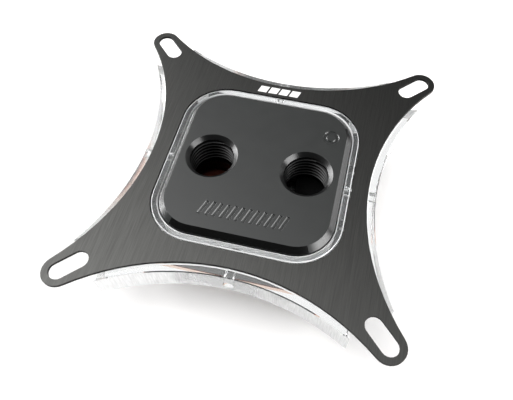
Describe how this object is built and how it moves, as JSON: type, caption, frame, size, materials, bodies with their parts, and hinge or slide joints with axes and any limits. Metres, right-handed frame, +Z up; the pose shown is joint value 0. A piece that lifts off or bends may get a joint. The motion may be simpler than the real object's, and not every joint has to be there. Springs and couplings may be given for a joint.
{
  "type": "cpu water block",
  "caption": "Low square liquid cooling block with a copper base, a black housing with two threaded ports, a clear plate and a thin four-arm mounting bracket.",
  "frame": {"origin": "centre of the copper cold plate's bottom face", "axes": "+Z points up, away from the processor; +X points from the outlet port to the inlet port; +Y completes the frame"},
  "size_m": [0.088, 0.088, 0.0184],
  "materials": {
    "copper": "bare copper, fine lapped",
    "black_acetal": "machined satin black acetal",
    "clear_acrylic": "clear cast acrylic, polished edges",
    "black_anodised_aluminium": "brushed and black anodised",
    "stainless_steel": "plain stainless steel",
    "black_rubber": "matte black rubber"
  },
  "bodies": {
    "root": {"cold_plate": "copper", "top_housing": "black_acetal", "light_plate": "clear_acrylic", "mounting_bracket": "black_anodised_aluminium", "jet_plate": "stainless_steel", "jet_gasket": "black_rubber", "base_seal": "black_rubber", "base_screw_1": "stainless_steel", "base_screw_2": "stainless_steel", "base_screw_3": "stainless_steel", "base_screw_4": "stainless_steel", "base_screw_5": "stainless_steel", "base_screw_6": "stainless_steel", "base_screw_7": "stainless_steel", "base_screw_8": "stainless_steel", "bracket_screw_1": "stainless_steel", "bracket_screw_2": "stainless_steel", "bracket_screw_3": "stainless_steel", "bracket_screw_4": "stainless_steel"}
  },
  "joints": []
}
